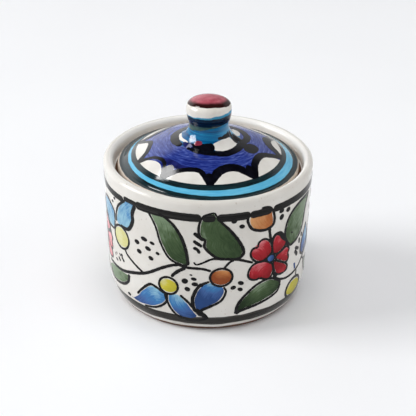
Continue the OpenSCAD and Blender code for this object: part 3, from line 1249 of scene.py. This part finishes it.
# %% Stems and hatching
for points, widths in (
    ([(-62, 20.5), (-47.4, 21.5), (-38.7, 24), (-29.9, 27.2), (-19.5, 33.4), (-13.3, 35.7), (-9.1, 34.9),
      (-2, 34.7), (2, 33.6)], (1.0, 1.3, 1.2, 1.0)),
    ([(-9.6, 34.6), (-12.4, 33), (-15.4, 30.4), (-16.4, 28.8)], (1.2, 1.4, 1.1)),
    ([(-6, 38), (-4.9, 36.8), (-2.8, 37.4), (2.5, 39.9), (6.7, 39.7), (13.8, 38.8), (21.7, 35.7)],
     (0.6, 0.9, 1.1, 0.9)),
    ([(12.5, 38.8), (10.4, 37.8), (7.7, 34.7)], [0.9]),
    ([(33.3, 25.1), (37.5, 22.2), (42.9, 20.7), (49.6, 21), (55, 22.5), (63, 27)], [0.9]),
    ([(29.6, 51.3), (29.8, 49.3), (30.6, 45.6), (31.5, 42.4)], (1.4, 1.1, 1.4, 1.0)),
    ([(52.2, 20.8), (51.9, 17.8)], [0.8]),
    ([(-43.7, 33.8), (-42.4, 32.1), (-36.2, 28.8), (-31.6, 26.7)], [0.9]),
    ([(-6, 53), (-1.6, 49.3)], (1.5, 1.3)),
    ([(-6.2, 49), (-2.2, 46.1)], (1.4, 1.2)),
    ([(-6.2, 45.5), (-4.3, 44.5), (-3.3, 42.6)], (1.3, 1.1)),
    ([(49, 33.8), (53.1, 31.6)], [1.3]),
    ([(49, 32.3), (51.9, 28.7)], [1.5]),
    ([(62, 22), (58, 24), (55, 22.5)], [0.8]),
    ([(-53.9, 27.9), (-53, 26.6)], [0.4]),
    ([(-52.5, 28.8), (-51.6, 27.8)], [0.4]),
    ([(-49.2, 29.7), (-48.2, 28.3)], [0.6]),
    ([(-47.6, 30), (-46.4, 28.8)], [1.2]),
    ([(-53.2, 25.4), (-51, 24.6)], [0.7]),
    ([(-50.2, 27.4), (-48.3, 25.6)], [0.9]),
    ([(-47.3, 28.5), (-44.9, 26.7)], [1.0]),
):
    line(points, *widths)
print(len(lines), "lines on each half")

# %% [markdown]
# A black band closes the panel under the rim. One ring round the wall would be too even. It was done in
# several pulls of the brush between the leaf tips, so it is a row of broad straight lines with a small
# step from one to the next. The dabs fill the gaps between the leaves, in loose groups.

# %% Bands and dabs
for start, end, height, width in (
    (-75.4, -43, 59.5, 3.1),
    (-43, -34, 60.7, 2.4),
    (-35, -2.6, 60.5, 3.9),
    (-2.4, 3.6, 60.5, 3.7),
    (4, 19.5, 60.5, 3.9),
    (19, 30.5, 60.4, 3.6),
    (31, 76, 60.5, 3.6),
):
    bands.append(([(start, height), (end, height)], (width, width)))

# Across, up, width, height and tilt of each touch.
dabs += [(-34.9, 41.6, 3.1, 2.3, -5), (-30.5, 44.6, 3.7, 2.2, -5), (-26, 43.8, 2.7, 1.6, -10)]
dabs += [(-28.4, 40.3, 3.3, 2.2, -10), (-33.7, 37.1, 3, 2.3, -5), (-23.2, 39.3, 2.1, 1.6, -15)]
dabs += [(-26.9, 35.8, 2.8, 2.1, -15), (11.8, 58.6, 2.7, 2.5, 0), (15.5, 55.4, 2.7, 2.1, -15)]
dabs += [(36.2, 57.9, 3.2, 2.2, 0), (36.5, 54.7, 2.7, 3, -20), (40.7, 57.0, 2.9, 2.5, 0)]
dabs += [(-51.2, 57, 1.8, 1.4, 0), (-53.5, 54.6, 2, 1.4, 0), (-10.1, 27.7, 3.1, 2.8, 10)]
dabs += [(-5.9, 29.2, 2.8, 1.7, -10), (-5.4, 26.5, 3.1, 2.1, 0), (-8.9, 23.6, 2.8, 2.3, -20)]
dabs += [(-7.2, 31.2, 1.4, 0.8, -10), (-2.6, 26.2, 2.6, 2, 20), (12.4, 24.3, 2.7, 2.1, 10)]
dabs += [(16, 26.2, 3.2, 2.1, -25), (15.8, 22.9, 2.8, 1.9, -25), (-42.4, 10.9, 2.4, 1.8, 0)]
dabs += [(53.1, 35.7, 1.9, 3.2, 10), (55.2, 38, 1.6, 2.6, 10), (45, 43.5, 1.5, 0.9, -30)]
dabs += [(x, y, 2.8, 2.1, 10) for x, y in ((68, 47), (72, 44), (73, 50), (77, 47), (70, 53))]
print(len(bands), "pulls of the band and", len(dabs), "dabs on each half")

# %% [markdown]
# Now the panel goes on the clay, twice, half a turn apart. Every colour could be joined into one mesh,
# but as a piece of its own each gets its own small lift, so that no two films share a surface where
# they cross, and the black lines lie on top. All of it rides with the pot.

# %% Laying the painting on the wall
halves = (0.0, math.pi * rim_r / MM)
wall_pieces = (
    ("wall_bands", line_source(bands, halves), wall_line_tree, 0.07, band_paint, "black_outline"),
    ("wall_lines", line_source(lines, halves), wall_line_tree, 0.10, line_paint, "black_outline"),
    ("wall_dabs", dab_source(dabs, halves), wall_dab_tree, 0.09, line_paint, "black_outline"),
    ("leaf_washes", wash_source(leaves, halves), wall_wash_tree, 0.030, green_paint, "leaf_green"),
    ("petal_washes", wash_source(petals, halves), wall_wash_tree, 0.034, blue_paint, "petal_blue"),
    ("flower_washes", wash_source(flowers, halves), wall_wash_tree, 0.038, red_paint, "berry_red"),
    ("bud_washes", wash_source(buds, halves), wall_wash_tree, 0.042, orange_paint, "bud_orange"),
    ("seed_washes", wash_source(seeds, halves), wall_wash_tree, 0.046, yellow_paint, "seed_yellow"),
)
for name, source, tree, lift, paint, slot in wall_pieces:
    piece = make_piece(name, source, tree, {"Lift": lift * MM, "Sink": paint_sink, "Paint": paint})
    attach(piece, "pot")

# %% [markdown]
# ## Painting the lid
#
# Nine half-moons of cream lie inside the dark ring, each with a thick black arc along its curved side.
# They were set out by eye, so their tips aren't evenly spaced. One instance turned nine times would
# look printed. Instead each moon has its own start, depth and end, and a formula gives its curve.


# %% Half-moons and arcs
def spot(radius, degrees):
    """A point of the lid's plan, at an angle from the front towards +X."""
    turn = math.radians(degrees)
    return (radius * math.sin(turn), -radius * math.cos(turn))


moon_r = 33.0
tip_r = moon_r + 0.5
tip_w = 2.6
# Degrees where it starts, is deepest and ends, its depth, and the width and the gap of its arc.
half_moons = (
    (-34.5, -12, -0.5, 5.6, 2.4, 0.0),
    (3.5, 21, 37, 5.5, 4.2, 0.0),
    (41.5, 63, 77, 5.8, 3.2, 0.0),
    (87, 101, 114, 3.6, 4.0, 0.0),
    (122, 140, 158, 4.5, 2.6, 0.0),
    (162, 184, 205, 4.5, 2.6, 0.0),
    (209, 231, 253, 4.3, 3.0, 0.0),
    (256.5, 266.5, 288.5, 5.4, 2.2, 0.0),
    (291, 307, 320, 5.0, 1.7, 1.1),
)
between = [(moon[0] + before[2]) / 2 for before, moon in zip(half_moons, half_moons[1:])]
first_tip = (half_moons[0][0] + half_moons[-1][2] - 360) / 2
tips = [first_tip, *between, first_tip + 360]
moons, lid_lines = [], []
for (start, deep, end, depth, width, gap), tip, next_tip in zip(half_moons, tips, tips[1:]):
    turns = [start + (end - start) * k / 12 for k in range(13)]
    shares = [(turn - deep) / (deep - start if turn < deep else end - deep) for turn in turns]
    edge = [moon_r - depth * max(1 - share**2, 0) ** 0.7 for share in shares]
    outer = [spot(moon_r + 0.3, turn) for turn in turns]
    inner = [spot(radius, turn) for turn, radius in zip(turns, edge)]
    moons.append((outer, inner, outer[0], 30, 0.05))
    middle = [spot(radius - gap - width / 2, turn) for turn, radius in zip(turns[2:-2], edge[2:-2])]
    path = [spot(tip_r, tip), *middle, spot(tip_r, next_tip)]
    lid_lines.append((path, (tip_w, width, width, width, tip_w)))
print(len(moons), "half-moons, with tips at", [round(tip) for tip in tips[:-1]], "degrees")

# %% [markdown]
# Round the knob's foot lie a few loose cream petals in a black ring, with a touch of red and some navy
# strokes at the front. On a round lid a place is easiest to give as a radius and an angle from the
# front, so all of these are lists of such pairs.


# %% Petals and strokes round the knob
def lid_patch(outer, inner):
    """A small wash between two edges, given as radii and angles."""
    return [spot(*at) for at in outer], [spot(*at) for at in inner], spot(*outer[0]), 30, 0.05


def lid_stroke(places, widths):
    """A line through places given as radii and angles."""
    return [spot(*at) for at in places], widths


knob_petals = [
    lid_patch(
        [(12.2, 9), (14, 13), (15.1, 27), (15.1, 40), (14.8, 52), (14.1, 66)],
        [(11.4, 9), (10.6, 25), (10.4, 42), (10.5, 60), (12.2, 65), (14.1, 66)],
    ),
    lid_patch(
        [(12.6, 93), (14.6, 103), (15.8, 118), (15.8, 132)],
        [(11.3, 98), (10.8, 106), (11.6, 120), (13.4, 132)],
    ),
    lid_patch(
        [(13.2, 165), (14.2, 176), (14.2, 208), (13.2, 220)],
        [(12, 165), (10.6, 176), (10.6, 208), (12, 220)],
    ),
    lid_patch([(13.8, 256), (13.7, 280), (12.9, 310)], [(12.6, 256), (12.2, 282), (12, 310)]),
]
knob_ring = [(14.8, -30), (15.2, -16), (15.6, 0), (15.9, 12), (16.9, 26), (16.6, 46), (16, 64), (16, 78),
             (17.2, 90), (17.9, 105), (17.6, 128), (16.4, 150), (15.6, 200), (15.5, 250), (15.5, 280),
             (15.3, 304)]
ring_widths = (2.2, 3.0, 3.8, 3.6, 3.4, 3.2, 3.4, 4.4, 3.6, 3.4, 4.0, 4.0, 4.0, 4.0, 2.6)
lid_lines += [
    lid_stroke(knob_ring, ring_widths),
    lid_stroke([(12.9, turn) for turn in (-40, -28, -14, -2, 13)], (1.5, 2.2, 3.2, 3.6, 3.8)),
    lid_stroke([(14.5, turn) for turn in (-42, -27, -12)], (1.6, 2.4, 2.2)),
    lid_stroke([(10.1, turn) for turn in (24, 38, 54, 68)], (0.4, 0.7, 1.0, 1.3)),
    lid_stroke([(9.7, 78), (10.8, 72), (12.2, 70), (14.4, 70)], (1.4, 2.2, 2.6, 2.8)),
    lid_stroke([(12.9, turn) for turn in (73, 82, 93)], (3.4, 4.4, 3.6)),
    lid_stroke([(20.6, 58), (21.2, 81)], (6.0, 6.0)),
    lid_stroke([(32.2, 39.4), (29, 40), (26.4, 41.4)], (2.6, 3.8, 2.4)),
    lid_stroke([(27.6, 0.6), (30, 0.8), (33.2, 0.6)], (3.4, 4.2, 2.6)),
    lid_stroke([(26.4, -37), (29.4, -37.3), (32.8, -37.3)], (4.0, 5.0, 3.2)),
]
red_lines = [lid_stroke([(11.9, -33), (11.9, -14)], (2.0, 2.3))]
navy_lines = [
    lid_stroke([(13.3, -60), (13.4, -46), (13.4, -30)], (1.6, 2.4, 2.4)),
    lid_stroke(
        [(26.2, -58), (25.4, -48), (25.5, -38), (26.2, -28), (26.2, -16)], (1.2, 2.6, 3.2, 2.4, 1.4)
    ),
]
print(len(knob_petals), "petals and", len(lid_lines + red_lines + navy_lines), "lines on the lid")

# %% [markdown]
# The lid's paints were loaded thicker than those on the wall, so most of them have a fuller gloss. They
# go on the dome as the panel went on the wall, once and not twice, and again each has its own lift,
# with the red touch on top. All of it rides with the lid.

# %% Laying the painting on the lid
cream_paint = brush_paint("cream_paint", (232, 229, 223), (216, 212, 204), (90, 90, 90), 0.5)
berry_paint = brush_paint("berry_paint", (108, 28, 52), (142, 52, 70), (200, 200, 200), 0.5)
navy_paint = brush_paint("navy_paint", (14, 18, 70), (40, 48, 124), (200, 200, 200))
lid_paint = brush_paint("lid_black", (3, 3, 9), (15, 16, 28), (320, 320, 320), 0.35)
once = (0.0,)
lid_pieces = (
    ("lid_moons", wash_source(moons, once), lid_wash_tree, 0.05, cream_paint, "cream_glaze"),
    ("lid_petals", wash_source(knob_petals, once), lid_wash_tree, 0.07, cream_paint, "cream_glaze"),
    ("lid_lines", line_source(lid_lines, once), lid_line_tree, 0.09, lid_paint, "black_outline"),
    ("lid_red", line_source(red_lines, once), lid_line_tree, 0.11, berry_paint, "berry_red"),
    ("lid_navy", line_source(navy_lines, once), lid_line_tree, 0.06, navy_paint, "cobalt_glaze"),
)
for name, source, tree, lift, paint, slot in lid_pieces:
    piece = make_piece(name, source, tree, {"Lift": lift * MM, "Sink": paint_sink, "Paint": paint})
    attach(piece, "lid")

# %% [markdown]
# ## The camera
#
# A pot is photographed from a little above, as one sees it on a table. The camera could be placed by
# eye with Lock Camera to View. Here it is set by the angle and the distance at which the rim's ellipse
# and the lid's rings look right, and a long lens keeps the shape calm.

# %% Camera
image_px = 416
focal_px = 1500
sensor = 36.0
view_elevation = math.radians(27.61)
view_distance = 0.6991
view_target = Vector((0.16 * MM, 0, 40.63 * MM))
view_roll = math.radians(0.79)
back = Vector((0, -math.cos(view_elevation), math.sin(view_elevation)))
camera_data = bpy.data.cameras.new("camera")
camera_data.sensor_width = sensor
camera_data.lens = focal_px / image_px * sensor
camera = bpy.data.objects.new("camera", camera_data)
camera.location = view_target + back * view_distance
camera.rotation_mode = "QUATERNION"
camera.rotation_quaternion = (-back).to_track_quat("-Z", "Y") @ Quaternion((0, 0, 1), view_roll)
scene.collection.objects.link(camera)
scene.camera = camera
scene.view_settings.view_transform = "Standard"
print("a lens of", round(camera_data.lens), "mm,", round(view_distance, 2), "m from the pot")

# %% [markdown]
# ## Light and floor
#
# Glaze is a mirror, so half of how the pot looks is the room around it. A picture of a room could be
# the world's texture. Here the room is a few soft steps instead: grey walls, a brighter window side at
# the back left, and a dark ceiling that keeps the lid's colours deep.

# %% The room
world = bpy.data.worlds.new("studio")
scene.world = world
world.use_nodes = True
tree = world.node_tree
way = node(tree, "ShaderNodeTexCoord").outputs["Generated"]
x, y, z = parts_of(tree, way)
room = calc(tree, "MULTIPLY_ADD", calc(tree, "MULTIPLY", x, x), 0.36, 0.52)
left = step_up(tree, calc(tree, "MULTIPLY", x, -1.0), -0.05, 0.35)
window = calc(tree, "MULTIPLY", left, step_up(tree, y, 0.2, 0.5))
walls = calc(tree, "MULTIPLY_ADD", window, 0.8, room)
overhead = step_up(tree, z, 0.55, 0.18)
glow = mixed(tree, overhead, walls, (0.05, 0.05, 0.055, 1))
tree.links.new(glow, tree.nodes["Background"].inputs["Color"])
print("the room has", len(tree.nodes), "nodes")

# %% [markdown]
# A studio has a few large soft lamps. The window on the left gives the main light and the shadow to the
# right. The ceiling and the fill only brighten what the window leaves dark, so they don't show in the
# glaze. The back lamp and the glint do the opposite: they are seen in the glaze, as highlights, and
# light nothing.


# %% Soft lamps
def soft_light(name, way, size, distance, power, mirrored=True, lighting=True):
    """A square area light in the given direction; it may be seen in the glaze, light the clay, or both."""
    data = bpy.data.lights.new(name, "AREA")
    data.size = size
    data.energy = power
    lamp = bpy.data.objects.new(name, data)
    way = Vector(way).normalized()
    lamp.location = view_target + way * distance
    lamp.rotation_mode = "QUATERNION"
    lamp.rotation_quaternion = way.to_track_quat("Z", "Y")
    lamp.visible_glossy = mirrored
    lamp.visible_diffuse = lighting
    scene.collection.objects.link(lamp)
    print(name, "of", power, "W,", distance, "m away")


soft_light("left_window", (-0.82, -0.05, 0.57), 1.2, 2.6, 37)
soft_light("back_lamp", (-0.423, 0.345, 0.838), 0.21, 1.17, 2.3, lighting=False)
soft_light("ceiling", (0.08, -0.12, 1), 1.0, 1.4, 8.2, mirrored=False)
soft_light("right_fill", (0.85, -0.1, 0.51), 0.8, 1.3, 1.3, mirrored=False)
soft_light("left_glint", (-0.875, -0.02, 0.473), 0.75, 1.3, 36, lighting=False)

# %% [markdown]
# The pot stands on a plain pale table. A large plane is enough, with a matt finish, so that it takes
# the soft shadow and mirrors nothing. It belongs to the studio and not to the pot.

# %% The table
table_size = 6
floor_finish, tree, shader = new_finish("white_table", 0.9, 0.0)
place, _ = place_of(tree)
pale = ramp(tree, noise(tree, place, 6, 2), (0.3, (248, 249, 251)), (0.7, (251, 252, 254)))
tree.links.new(pale, shader.inputs["Base Color"])
bpy.ops.mesh.primitive_plane_add(size=table_size)
floor = bpy.context.object
floor.name = "floor"
floor.data.materials.append(floor_finish)
print("a table of", table_size, "m")
